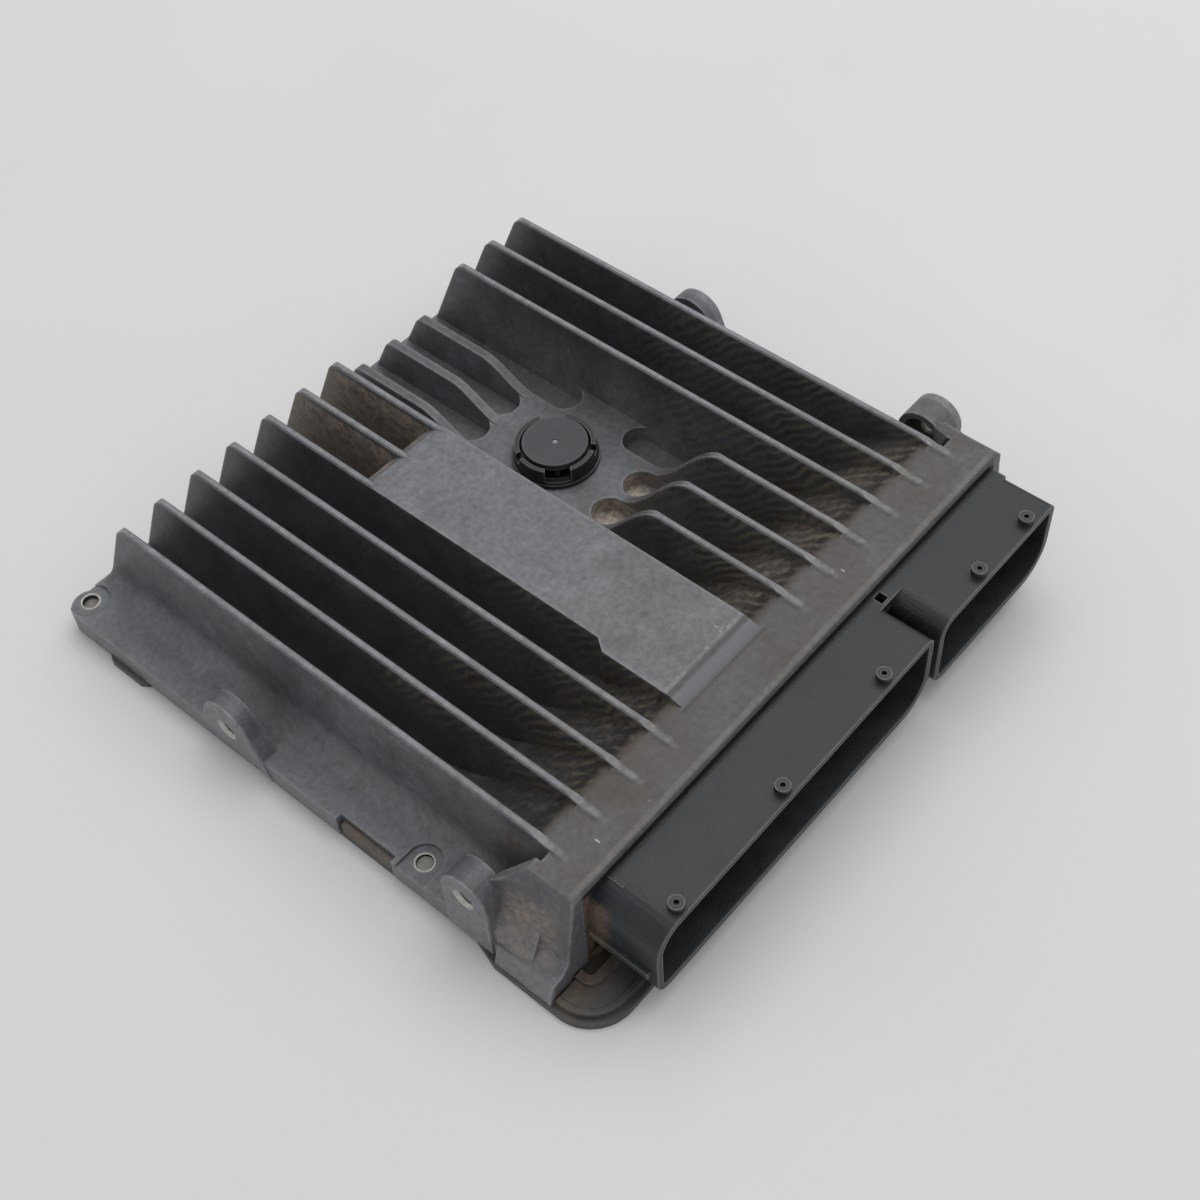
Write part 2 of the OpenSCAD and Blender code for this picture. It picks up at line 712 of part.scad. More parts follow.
// Bent square pins of the large port
module large_port_pins() {
    color("#b9a56a") at_pins(large_pin_x, large_cols) {
        pin(0);
        pin(1);
        pin(2);
    }
}

// Bent square pins of the small port
module small_port_pins() {
    color("#b9a56a") at_pins(small_pin_x, small_cols) {
        pin(0);
        pin(1);
        pin(2);
    }
}

vent_web = plateau_z + 1.5;
collar_r = vent_foot_d / 2 - 1.1;

// Tapered collar with two wide gaps and two notches, its web and the stem in the cover
module vent_body() {
    color("#1b1c1e") translate([vent_x, vent_y, 0]) difference() {
        union() {
            translate([0, 0, plateau_z]) cylinder(h = 1.3, d = vent_foot_d);
            translate([0, 0, plateau_z]) cylinder(h = vent_h - 0.7, r1 = collar_r + 0.9, r2 = collar_r);
            translate([0, 0, plateau_z - 4.5]) cylinder(h = 5, d = vent_bore_d - 0.2);
        }
        translate([0, 0, vent_web]) cylinder(h = 10, r = collar_r - 1.3);
        translate([0, 0, 0]) cylinder(h = 30, r = vent_bore_d / 2 - 2);
        for (a = [45, 225]) rotate([0, 0, a]) box([8, -3.4, vent_web + 0.4], [14, 3.4, 30]);
        for (a = [155, 299]) rotate([0, 0, a]) box([8, -1.2, plateau_z + vent_h - 2.6], [14, 1.2, 30]);
    }
}

// Cap of the vent, held off the web on four feet
module vent_cap() {
    color("#4d5053") translate([vent_x, vent_y, 0]) difference() {
        union() {
            translate([0, 0, plateau_z + vent_h - 2]) cylinder(h = 2, d = vent_cap_d);
            for (a = [45 : 90 : 315]) rotate([0, 0, a])
                translate([vent_cap_d / 2 - 1.6, 0, vent_web])
                    cylinder(h = plateau_z + vent_h - 1 - vent_web, r = 0.9);
        }
        translate([0, 0, plateau_z + vent_h - 0.4]) cylinder(h = 2, r = 0.9);
    }
}

// Breathing membrane over the vent bore
module vent_membrane() {
    color("#e6e5e0") translate([vent_x, vent_y, vent_web]) cylinder(h = 0.4, r = vent_bore_d / 2 - 0.4);
}

// Sealing ring round the vent stem
module vent_o_ring() {
    color("#1a1a1a") translate([vent_x, vent_y, plateau_z - 1]) rotate_extrude()
        translate([vent_bore_d / 2 + 1.1, 0]) circle(0.98, $fn = 24);
}

// Bead in the groove under the cover flange and under the header plate
module cover_seal() {
    color("#6b5f52") seal_bead();
}

// Seal between the header plate and the cover opening
module header_seal() {
    s = (opening_w - plate_w) / 2;
    z1 = deck_z - wall_t;
    color("#6a5a48") {
        box([-opening_w / 2, plate_y0 + 0.3, base_t + seal_t], [-opening_w / 2 + s, plate_y1 - 0.3, z1]);
        box([opening_w / 2 - s, plate_y0 + 0.3, base_t + seal_t], [opening_w / 2, plate_y1 - 0.3, z1]);
        box([-opening_w / 2, plate_y0 + 0.3, plate_top], [opening_w / 2, plate_y1 - 0.3, z1]);
    }
}

// Circuit board with the pin eyes and six screw holes
module circuit_board() {
    color("#1f4d33") difference() {
        box([-board_w / 2, board_y0, board_z], [board_w / 2, board_y1, board_top]);
        for (p = post_spots) translate([p[0], p[1], 0]) cylinder(h = 20, r = board_screw_r);
        at_pins(large_pin_x, large_cols) {
            pin_eye(0);
            pin_eye(1);
            pin_eye(2);
        }
        at_pins(small_pin_x, small_cols) {
            pin_eye(0);
            pin_eye(1);
            pin_eye(2);
        }
    }
}

// Flat package standing on the board
module chip(p, size) {
    translate([p[0] - size[0] / 2, p[1] - size[1] / 2, board_top]) cube(size);
}

driver_spots = [[driver_x, vent_y + 30], [driver_x + 14, vent_y + 27], [driver_x + 12, vent_y - 8]];
mosfet_spots = [for (i = [-3 : 4]) [i * 11 - 5, mosfet_y]];
mcu_spot = [-52, 16];
chip_t = 1.6;

// Main processor
module microcontroller() {
    color("#202022") chip(mcu_spot, [24, 24, chip_t]);
}

// Program memory beside the processor
module flash_memory() {
    color("#202022") chip([-52, 46], [18, 12, 1.2]);
}

// Driver chips for the outputs
module power_drivers() {
    color("#202022") for (p = driver_spots) chip(p, [12, 12, chip_t]);
}

// Row of transistors for the injectors
module injector_mosfets() {
    color("#202022") for (p = mosfet_spots) chip(p, [6.6, 6.2, chip_t]);
}

// Tall capacitors that stand in the room under the pad
module capacitors() {
    color("#2b2f45") for (i = [0 : 3]) translate([cap_x, y_pad + 16 + i * 12.5, board_top])
        cylinder(h = 20, r = 5);
}

// Two chokes under the pad
module inductors() {
    color("#3a3530") for (i = [0, 1]) translate([cap_x, y_pad + 68 + i * 14, board_top]) difference() {
        cylinder(h = 9, r = 5.8);
        translate([0, 0, 2]) cylinder(h = 10, r = 2.4);
    }
}

// Clock crystal in its can
module crystal() {
    color("#c4c6c8") chip([-52, -4], [11, 4.6, 2]);
}

// Supply regulator
module voltage_regulator() {
    color("#202022") chip([-34, 62], [10, 9, 2]);
}

// Ambient pressure sensor below the vent plateau
module pressure_sensor() {
    color("#8d8f92") chip([vent_x - 13, vent_y - 8], [7, 7, 4]);
}

// Bus transceivers
module can_transceivers() {
    color("#202022") for (i = [0 : 2]) chip([36 + i * 8, -4], [5, 4, 1.5]);
}

// Flat resistors in front of the injector transistors
module sense_resistors() {
    color("#2d2d2f") for (i = [0 : 5]) chip([i * 12 - 20, mosfet_y - 9], [6.3, 3.2, 0.7]);
}

// Soft pads that lead heat from the hot packages to the cover
module thermal_pads() {
    gap = ceil_z - board_top - chip_t;
    color("#9fb0c4") translate([0, 0, chip_t]) {
        for (p = driver_spots) chip(p, [10, 10, gap]);
        for (p = mosfet_spots) chip(p, [5.4, 5, gap]);
        chip(mcu_spot, [18, 18, gap]);
    }
}

screw_end = flange_z - screw_short;

// Countersunk screws from below whose ends show in the flange recesses
module cover_screws() {
    color("#9a927f") for (p = screw_spots) translate([p[0], p[1], 0]) difference() {
        union() {
            screw_cone(0);
            cylinder(h = screw_end - 0.6, r = cover_screw_r);
            translate([0, 0, screw_end - 0.6])
                cylinder(h = 0.6, r1 = cover_screw_r, r2 = cover_screw_r - 0.5);
        }
        translate([0, 0, -1]) cylinder(h = 2, r = 1.7, $fn = 6);
    }
}

// Screws that hold the board to the cover posts
module board_screws() {
    color("#b8babd") for (p = post_spots) translate([p[0], p[1], 0]) difference() {
        union() {
            translate([0, 0, board_z - 1.2]) cylinder(h = 1.2, r = 2.8);
            translate([0, 0, board_z - 0.2]) cylinder(h = ceil_z - board_z + 0.8, r = board_screw_r);
        }
        translate([0, 0, board_z - 2]) cylinder(h = 1.4, r = 1.2, $fn = 6);
    }
}

cover();
base_plate();
connector_header();
large_port_pins();
small_port_pins();
vent_body();
vent_cap();
vent_membrane();
vent_o_ring();
cover_seal();
header_seal();
circuit_board();
microcontroller();
flash_memory();
power_drivers();
injector_mosfets();
capacitors();
inductors();
crystal();
voltage_regulator();
pressure_sensor();
can_transceivers();
sense_resistors();
thermal_pads();
cover_screws();
board_screws();
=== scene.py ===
"""Engine control unit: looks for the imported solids, in metres, in the same frame as the CAD."""
import json
import math
from types import SimpleNamespace

import bpy
import numpy as np
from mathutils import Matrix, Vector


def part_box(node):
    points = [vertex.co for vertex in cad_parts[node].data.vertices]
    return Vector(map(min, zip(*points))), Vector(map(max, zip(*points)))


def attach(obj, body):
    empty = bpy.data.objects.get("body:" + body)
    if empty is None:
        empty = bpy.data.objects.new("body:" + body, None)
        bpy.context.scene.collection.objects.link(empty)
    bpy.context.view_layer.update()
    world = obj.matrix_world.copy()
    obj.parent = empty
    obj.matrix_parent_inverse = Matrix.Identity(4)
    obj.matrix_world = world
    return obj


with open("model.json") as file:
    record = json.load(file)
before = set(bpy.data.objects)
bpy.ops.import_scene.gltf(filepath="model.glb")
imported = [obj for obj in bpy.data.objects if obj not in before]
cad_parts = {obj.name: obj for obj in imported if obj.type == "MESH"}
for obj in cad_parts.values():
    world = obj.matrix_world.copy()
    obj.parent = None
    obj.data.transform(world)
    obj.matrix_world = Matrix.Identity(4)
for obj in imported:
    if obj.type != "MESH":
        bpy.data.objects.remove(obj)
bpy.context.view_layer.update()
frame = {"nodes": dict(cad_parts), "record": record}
NODES = frame["nodes"]
MM = 0.001
WAVE_TURN = math.pi / 10  # length of one band of a wave texture at scale one
PHOTO_PX = 1200.0  # side of the photo
SENSOR_MM = 36.0  # side of the camera's sensor
FIN_PITCH = 12.5  # millimetres from fin to fin
LAST_FIN_X = 74.5  # millimetres from the middle to the fin on the right
LAID_OVER = {"data_type": "RGBA", "out": 2}  # a Mix node that lays one colour over another
OVER_SKIN = {"out": "AO", "samples": 4, "only_local": True}  # an occlusion node that feels narrow places
UNDER_SKIN = {**OVER_SKIN, "inside": True}  # an occlusion node that feels edges from below the surface


def linear(hex_colour):
    """sRGB hex to linear RGBA: each channel is undone from the sRGB curve."""
    c = np.array([int(hex_colour[i:i + 2], 16) for i in (1, 3, 5)]) / 255.0
    c = np.where(c <= 0.04045, c / 12.92, ((c + 0.055) / 1.055) ** 2.4)
    return (*[float(v) for v in c], 1.0)


def per_mm(size):
    """Texture scale at which one pattern cell is that many millimetres wide."""
    return 1000.0 / size


def add(tree, kind, links=None, stops=None, out=0, **settings):
    """Adds one node and returns one of its outputs. settings are its attributes, links maps
    an input to a value or to another output, and stops are the marks of a colour ramp."""
    node = tree.nodes.new(kind)
    for key, value in settings.items():
        setattr(node, key, value)
    for key, value in (links or {}).items():
        if isinstance(value, bpy.types.NodeSocket):
            tree.links.new(value, node.inputs[key])
        else:
            node.inputs[key].default_value = value
    if stops:
        ramp = node.color_ramp.elements
        while len(ramp) < len(stops):
            ramp.new(0.5)
        for mark, (place, colour) in zip(ramp, stops):
            mark.position, mark.color = place, colour
    return node.outputs[out] if node.outputs else None


def new_material(name):
    """A node material with nothing in its tree yet, and that tree."""
    mat = bpy.data.materials.new(name)
    mat.use_nodes = True
    mat.node_tree.nodes.clear()
    return mat, mat.node_tree


def region(tree, weights, spans=()):
    """Weight of a soft-edged region: the product of the given weights and of one smooth rise for
    each span, which is a coordinate and the two places in millimetres where the rise starts and
    is full."""
    rises = [add(tree, "ShaderNodeMapRange", {"Value": axis, "From Min": start * MM, "From Max": full * MM},
                 interpolation_type="SMOOTHSTEP") for axis, start, full in spans]
    product = 1.0
    for weight in list(weights) + rises:
        product = add(tree, "ShaderNodeMath", {0: product, 1: weight}, operation="MULTIPLY")
    return product


def casting_marks(tree):
    """What the layers on the casting share: the place on it, whether its face lies or stands, the
    patterns that break the layers up, and the regions that more than one layer uses."""
    at = SimpleNamespace()
    at.place = add(tree, "ShaderNodeTexCoord", out="Object")
    at.x, at.y, at.z = add(tree, "ShaderNodeSeparateXYZ", {"Vector": at.place}).node.outputs
    at.side = add(tree, "ShaderNodeMath", {0: at.x}, operation="ABSOLUTE")
    normal = add(tree, "ShaderNodeNewGeometry", out="Normal")
    at.up = add(tree, "ShaderNodeSeparateXYZ", {"Vector": normal}, out="Z")

    # Each noise: width of a cell in millimetres, detail, roughness and distortion
    noises = {"cells": (9, 6, 0.6, 0), "cloud": (34, 5, 0.5, 0), "speckle": (1.8, 6, 0.65, 0),
              "wiped": (6, 7, 0.72, 3), "flecks": (1.7, 6, 0.65, 0), "smudges": (15, 8, 0.62, 1.2),
              "grit": (0.7, 3, 0.5, 0)}
    for name, (size, detail, roughness, distortion) in noises.items():
        noise = add(tree, "ShaderNodeTexNoise", {"Vector": at.place, "Scale": per_mm(size), "Detail": detail,
                                                 "Roughness": roughness, "Distortion": distortion})
        setattr(at, name, noise)
    # Bent bands, about two millimetres wide, as a wiping rag leaves them
    rag = add(tree, "ShaderNodeTexWave", {"Vector": at.place, "Scale": WAVE_TURN * per_mm(1.9),
                                          "Distortion": 9.0, "Detail": 3.0, "Detail Scale": 0.5,
                                          "Detail Roughness": 0.5}, out="Fac", bands_direction="DIAGONAL")

    # Each spread: its source, the values where it starts and is full, and what it gives there
    spreads = {"lies": (at.up, 0.55, 0.97, 0, 1), "stands": (at.up, 0.9, 0.4, 0, 1),
               "patch": (at.cloud, 0.36, 0.62, 0, 1), "uneven": (at.cloud, 0.3, 0.65, 0.35, 0.66),
               "crumb": (at.speckle, 0.38, 0.62, 0, 1), "grain": (at.speckle, 0.3, 0.6, 0.3, 0.95),
               "worn": (at.speckle, 0.35, 0.6, 0.25, 0.8), "streak": (at.wiped, 0.4, 0.6, 0.15, 0.95),
               "swirl": (rag, 0.25, 0.95, 0, 1), "fleck": (at.flecks, 0.3, 0.7, 0.72, 1.28),
               "smudge": (at.smudges, 0.32, 0.68, 0.8, 1.2), "satin": (at.cells, 0.3, 0.7, 0.4, 0.52)}
    for name, (source, start, full, least, most) in spreads.items():
        spread = add(tree, "ShaderNodeMapRange", {"Value": source, "From Min": start, "From Max": full,
                                                  "To Min": least, "To Max": most})
        setattr(at, name, spread)

    at.flank = (at.side, 76, 77.5)
    at.washed = region(tree, [1.0], [(at.z, 15.2, 24), (at.z, 34.45, 33.9)])
    at.dark_ramp = region(tree, [at.washed, at.lies], [(at.y, -20, -40), (at.side, 75, 74)])
    # The deck's front wall over the header is painted near black as the shadow in the gap there, and its
    # sheen is lowered.
    at.gap = region(tree, [at.stands, 0.9], [(at.y, -76.0, -76.6), (at.side, 81, 79.5), (at.z, 26, 28)])
    return at


def coat_layers(tree, at):
    """The coat itself, with a painted highlight on the tops and painted light and shade on the fin sides, as
    weights, colours and blends from the first layer to the last.
    """
    # Settled haze pales every face that looks up, but not the ramps, which splashes have washed dark.
    kept = add(tree, "ShaderNodeMapRange", {"Value": at.washed, "To Min": 0.75, "To Max": 0.05})
    haze = region(tree, [at.lies, kept])
    # The outer flank and flange have weathered paler than the channels, and handling has paled the
    # faces that stayed unwashed.
    exposed = add(tree, "ShaderNodeMapRange", {"Value": at.up, "From Min": 0.05, "From Max": 0.5,
                                               "To Max": 0.35})
    weathered = region(tree, [exposed], [at.flank, (at.z, 21, 14)])
    unwashed = add(tree, "ShaderNodeMath", {0: 1.0, 1: at.washed}, operation="SUBTRACT")
    handled = region(tree, [at.lies, unwashed, 0.25], [(at.z, 14.5, 14.9)])
    # The tops are paler, the fins more than the pad, partly rubbed and partly a painted highlight. The fin
    # sides get painted shade high up and painted light lower down.
    on_pad = region(tree, [1.0], [(at.x, -30, -27), (at.x, 2.5, 0.5), (at.y, -62, -60), (at.y, 43, 40)])
    bright = add(tree, "ShaderNodeMapRange", {"Value": on_pad, "To Min": 0.6, "To Max": 0.18})
    tops_rubbed_and_highlit = region(tree, [at.lies, bright], [(at.z, 35.0, 35.3)])
    # Painted light low on the fin sides and painted shade high on them even out their shading from bottom to
    # top.
    depth = add(tree, "ShaderNodeMapRange", {"Value": at.z, "From Min": 12 * MM, "From Max": 33 * MM,
                                             "To Min": 1.65, "To Max": 0.58})
    fin_side_shading = region(tree, [at.stands], [(at.side, 76.2, 75.8), (at.y, 84, 74), (at.y, -75, -72)])
    return [(haze, linear("#616266"), "MIX"), (at.dark_ramp, linear("#222123"), "MIX"),
            (weathered, linear("#707176"), "MIX"), (handled, linear("#6a6b6f"), "MIX"),
            (tops_rubbed_and_highlit, linear("#86878b"), "MIX"), (fin_side_shading, depth, "MULTIPLY"),
            (1.0, at.fleck, "MULTIPLY"), (1.0, at.smudge, "MULTIPLY")]


def dirt_layers(tree, at):
    """Road dirt on the coat, as weights, colours and blends from the first layer to the last, and
    the weight of what it dulls."""
    # The dust film on the deck thins out towards the back and leaves the pad nearly clean.
    low = add(tree, "ShaderNodeMapRange", {"Value": at.z, "From Min": 35.3 * MM, "From Max": 35.8 * MM,
                                           "To Min": 1.0, "To Max": 0.25})
    film = region(tree, [at.lies, at.uneven, low],
                  [(at.y, 10, -48), (at.z, 33.7, 34.2), (at.side, 86, 83.6)])
    # Swirls were wiped on the fin sides and, more on the right, on the ramps.
    wiped_side = region(tree, [at.stands, at.swirl, at.patch, 0.5],
                        [(at.y, 65, -20), (at.z, 9, 13), (at.side, 75.3, 74.7)])
    rightward = add(tree, "ShaderNodeMapRange", {"Value": at.x, "From Min": -45 * MM, "From Max": 0.0,
                                                 "To Min": 0.3, "To Max": 0.65})
    wiped_ramp = region(tree, [at.dark_ramp, at.swirl, at.patch, at.crumb, rightward])
    smear = add(tree, "ShaderNodeMath", {0: wiped_side, 1: wiped_ramp}, operation="MAXIMUM")
    # Dry dirt sits in narrow places.
    open_air = add(tree, "ShaderNodeAmbientOcclusion", {"Distance": 9 * MM}, **OVER_SKIN)
    tight = add(tree, "ShaderNodeMapRange", {"Value": open_air, "From Min": 0.8, "From Max": 0.35})
    dirt = region(tree, [tight, at.patch, at.crumb, 0.6], [(at.y, 80, -10), (at.z, 8, 9.5)])
    # Brown crust covers the front corner panels, the channels behind the pad, the ramps beside its front
    # and the nooks behind the front ears. In the pockets at the vent there is pale dust on it.
    panel = region(tree, [at.grain, at.streak], [(at.side, 83.4, 85), (at.y, -57, -60.5), (at.y, -76, -70),
                                                 (at.z, 29, 23), (at.z, 8.4, 9.4)])
    behind = region(tree, [at.streak],
                    [(at.y, 38, 44), (at.x, 3, -1), (at.x, -25.6, -24.9), (at.z, 35.3, 33.5)])
    beside = region(tree, [at.grain, at.patch, 0.2],
                    [(at.y, -63, -58), (at.y, -42, -52), (at.x, -2, 3), (at.z, 34.3, 33)])
    nook = region(tree, [at.streak, 0.45], [(at.side, 75.6, 76.6), (at.side, 84.5, 83), (at.y, -67, -64),
                                            (at.y, -38, -54), (at.z, 35, 27)])
    pocket = region(tree, [at.grain], [(at.x, 0, 5), (at.x, 38, 30), (at.y, -14, -2), (at.y, 16, 12),
                                       (at.z, 14.95, 14.2)])
    crust = panel
    for crusted in (behind, beside, pocket, nook):
        crust = add(tree, "ShaderNodeMath", {0: crust, 1: crusted}, operation="MAXIMUM")
    pale = region(tree, [pocket, at.crumb, 0.95])
    dull = film
    for dulled in (crust, smear):
        dull = add(tree, "ShaderNodeMath", {0: dull, 1: dulled}, operation="MAXIMUM")
    layers = [(film, linear("#4a4138"), "MIX"), (smear, linear("#7f7561"), "MIX"),
              (dirt, linear("#75664f"), "MIX"), (crust, linear("#93867a"), "MIX"),
              (pale, linear("#c0b5a6"), "MIX")]
    return layers, dull


def wear_layers(tree, at):
    """Wear through the coat and the dirt, partly painted as highlights, with painted shade in the pad's
    creases and a painted shadow in the gap at the header, as weights, colours and blends from the first layer
    to the last."""
    # Edges are rubbed pale, partly wear and partly a painted highlight, where the metal under the coat is
    # near, and the outer flank is scuffed.
    thick = add(tree, "ShaderNodeAmbientOcclusion", {"Distance": 1.0 * MM}, **UNDER_SKIN)
    edge = add(tree, "ShaderNodeMapRange", {"Value": thick, "From Min": 0.85, "From Max": 0.4})
    rub = region(tree, [at.worn, edge])
    scuff = region(tree, [at.streak, 0.3], [at.flank, (at.z, 20, 12)])
    # The pad's front slope is painted paler than the deck as a highlight, between painted shade in the groove
    # under its worn edge and a painted shade line along its foot.
    on_slope = [(at.x, -31, -29), (at.x, 2.6, 0.6)]
    slope_highlight = region(tree, [0.75], on_slope + [(at.y, -63.9, -63.3), (at.y, -59.2, -60.2), (at.z, 34.4, 34.5)])
    groove_shade = region(tree, [0.75], on_slope + [(at.y, -60.6, -59.4), (at.y, -58.3, -58.8), (at.z, 35.0, 35.4)])
    foot = region(tree, [0.5], on_slope + [(at.y, -64.8, -64.2), (at.y, -63.2, -63.8), (at.z, 34.3, 34.45)])
    crease_shade = add(tree, "ShaderNodeMath", {0: groove_shade, 1: foot}, operation="MAXIMUM")
    lip = region(tree, [at.worn, at.crumb, 0.6],
                 on_slope + [(at.y, -58.5, -58.1), (at.y, -57.2, -57.6), (at.z, 35.6, 35.8)])
    # A rubbed streak runs out of each fin tail onto the deck, and one runs along the deck's front edge.
    from_last = add(tree, "ShaderNodeMath", {0: at.x, 1: LAST_FIN_X * MM}, operation="SUBTRACT")
    off_fin = add(tree, "ShaderNodeMath", {0: from_last, 1: FIN_PITCH / 2 * MM}, operation="PINGPONG")
    at_pad = region(tree, [1.0], [(at.x, -34, -33), (at.x, 6, 5)])
    off_pad = add(tree, "ShaderNodeMath", {0: 1.0, 1: at_pad}, operation="SUBTRACT")
    tail = region(tree, [at.worn, at.lies, off_pad, 0.6],
                  [(off_fin, 1.3, 0.2), (at.y, -70.5, -66), (at.y, -58, -62), (at.z, 34.0, 34.4)])
    brink = region(tree, [at.worn, at.lies, 0.28],
                   [(at.y, -74.3, -75.0), (at.y, -76.2, -75.7), (at.z, 34.0, 34.3)])
    streaks = add(tree, "ShaderNodeMath", {0: tail, 1: brink}, operation="MAXIMUM")
    # The ears are worn, and a few short bright nicks lie on them and on the deck.
    slant = add(tree, "ShaderNodeMapping", {"Vector": at.place, "Rotation": (0.0, 0.0, 0.7),
                                            "Scale": (1.0, 0.35, 1.0)})
    nicks = add(tree, "ShaderNodeTexVoronoi", {"Vector": slant, "Scale": per_mm(1.5), "Randomness": 1.0})
    pick = add(tree, "ShaderNodeSeparateColor", {"Color": nicks.node.outputs["Color"]})
    rare = add(tree, "ShaderNodeMath", {0: pick, 1: 0.95}, operation="GREATER_THAN")
    ragged = add(tree, "ShaderNodeMath", {0: nicks, 1: at.speckle}, operation="MULTIPLY")
    nick = add(tree, "ShaderNodeMapRange", {"Value": ragged, "From Min": 0.1, "From Max": 0.06})
    deck = region(tree, [at.lies], [(at.z, 33.8, 34.2), (at.y, -50, -60)])
    ears = region(tree, [1.0], [(at.side, 91.6, 92.2)])
    nicked = add(tree, "ShaderNodeMath", {0: deck, 1: ears}, operation="MAXIMUM")
    chip = region(tree, [nick, rare, nicked])
    worn_ears = region(tree, [at.worn, ears, 0.7])
    return [(rub, linear("#a2a2a4"), "MIX"), (scuff, linear("#7f8085"), "MIX"),
            (slope_highlight, linear("#6c6c72"), "MIX"), (crease_shade, linear("#3a383a"), "MIX"),
            (lip, linear("#a2a2a4"), "MIX"), (streaks, linear("#9a9a98"), "MIX"),
            (worn_ears, linear("#8b8c8f"), "MIX"), (chip, linear("#a9a7a2"), "MIX"),
            (at.gap, linear("#141415"), "MIX")]


def coated_casting():
    """Black powder coat on a die casting: a satin skin with a fine orange peel that looks pale grey
    where it mirrors the sky, rubbed pale along edges, with a brown film of road dust on the deck,
    wiped swirls on ramps and fin sides, and dry brown crust in corners and pockets. Painted highlights
    lie along the edges, on the tops and on the pad's front slope, painted light and shade on the fin
    sides, and painted shade in the pad's creases and in the gap at the header."""
    mat, tree = new_material("black_coated_die_casting")
    at = casting_marks(tree)
    dirt, dull = dirt_layers(tree, at)
    tone = add(tree, "ShaderNodeValToRGB", {"Fac": at.cells},
               stops=[(0.32, linear("#4a4b4f")), (0.68, linear("#5b5c60"))])
    for weight, colour, blend in coat_layers(tree, at) + dirt + wear_layers(tree, at):
        tone = add(tree, "ShaderNodeMix", {0: weight, 6: tone, 7: colour}, **LAID_OVER, blend_type=blend)
    rough = add(tree, "ShaderNodeMix", {0: dull, 2: at.satin, 3: 0.8})
    matte = add(tree, "ShaderNodeMath", {0: at.gap, 1: at.dark_ramp}, operation="MAXIMUM")
    sheen = add(tree, "ShaderNodeMapRange", {"Value": matte, "To Min": 0.5, "To Max": 0.12})
    soft = add(tree, "ShaderNodeBevel", {"Radius": 0.5 * MM}, samples=3)
    relief = add(tree, "ShaderNodeBump", {"Height": at.grit, "Strength": 0.5, "Distance": 0.05 * MM,
                                          "Normal": soft})
    peel = add(tree, "ShaderNodeBump", {"Height": at.cells, "Strength": 0.4, "Distance": 0.25 * MM,
                                        "Normal": relief})
    shader = add(tree, "ShaderNodeBsdfPrincipled", {"Base Color": tone, "Roughness": rough, "Normal": peel,
                                                    "Specular IOR Level": sheen})
    add(tree, "ShaderNodeOutputMaterial", {"Surface": shader})
    return mat


def grained_moulding():
    """Glass filled polyamide off a spark-eroded tool: a cool dark grey with an even fine grain, a thin
    pale line along each lip that is partly rubbed and partly a painted highlight, lint inside the ports,
    brown dust at the outer ends next to the cover and a painted black shadow along the joint with it."""
    mat, tree = new_material("glass_filled_polyamide_moulding")
    place = add(tree, "ShaderNodeTexCoord", out="Object")
    x, y, z = add(tree, "ShaderNodeSeparateXYZ", {"Vector": place}).node.outputs
    side = add(tree, "ShaderNodeMath", {0: x}, operation="ABSOLUTE")
    cells = add(tree, "ShaderNodeTexNoise", {"Vector": place, "Scale": per_mm(7), "Detail": 4.0})
    fine = add(tree, "ShaderNodeTexNoise", {"Vector": place, "Scale": per_mm(0.9), "Detail": 5.0})
    grit = add(tree, "ShaderNodeTexNoise", {"Vector": place, "Scale": per_mm(0.7), "Detail": 2.0})
    open_air = add(tree, "ShaderNodeAmbientOcclusion", {"Distance": 14 * MM}, **OVER_SKIN)
    inside = add(tree, "ShaderNodeMapRange", {"Value": open_air, "From Min": 0.6, "From Max": 0.3})
    fluff = add(tree, "ShaderNodeMapRange", {"Value": fine, "From Min": 0.56, "From Max": 0.7})
    crumb = add(tree, "ShaderNodeMapRange", {"Value": fine, "From Min": 0.3, "From Max": 0.62,
                                             "To Min": 0.35, "To Max": 0.95})
    thick = add(tree, "ShaderNodeAmbientOcclusion", {"Distance": 0.7 * MM}, **UNDER_SKIN)
    shade = region(tree, [inside, 0.8])
    lint = region(tree, [inside, fluff, 0.5])
    dust = region(tree, [crumb, 0.85], [(y, -84, -79), (z, 31.5, 30), (side, 76.5, 78)])
    # A painted black shadow along the joint with the cover.
    joint_shadow = region(tree, [0.9], [(y, -78.7, -78.0), (z, 30.5, 31.2)])
    # The thin pale line along each lip is partly rubbed and partly a painted highlight.
    lip = add(tree, "ShaderNodeMapRange", {"Value": thick, "From Min": 0.8, "From Max": 0.4, "To Max": 0.85})
    tone = add(tree, "ShaderNodeValToRGB", {"Fac": cells},
               stops=[(0.34, linear("#171b20")), (0.68, linear("#1f2429"))])
    for weight, colour in ((shade, "#26272a"), (lint, "#6d6a66"), (dust, "#7a6752"), (joint_shadow, "#0b0b0c"),
                           (lip, "#85888c")):
        tone = add(tree, "ShaderNodeMix", {0: weight, 6: tone, 7: linear(colour)}, **LAID_OVER)
    rough = add(tree, "ShaderNodeMapRange", {"Value": cells, "From Min": 0.3, "From Max": 0.7,
                                             "To Min": 0.42, "To Max": 0.52})
    soft = add(tree, "ShaderNodeBevel", {"Radius": 0.35 * MM}, samples=3)
    relief = add(tree, "ShaderNodeBump", {"Height": grit, "Strength": 0.8, "Distance": 0.09 * MM,
                                          "Normal": soft})
    shader = add(tree, "ShaderNodeBsdfPrincipled", {"Base Color": tone, "Roughness": rough, "Normal": relief})
    add(tree, "ShaderNodeOutputMaterial", {"Surface": shader})
    return mat


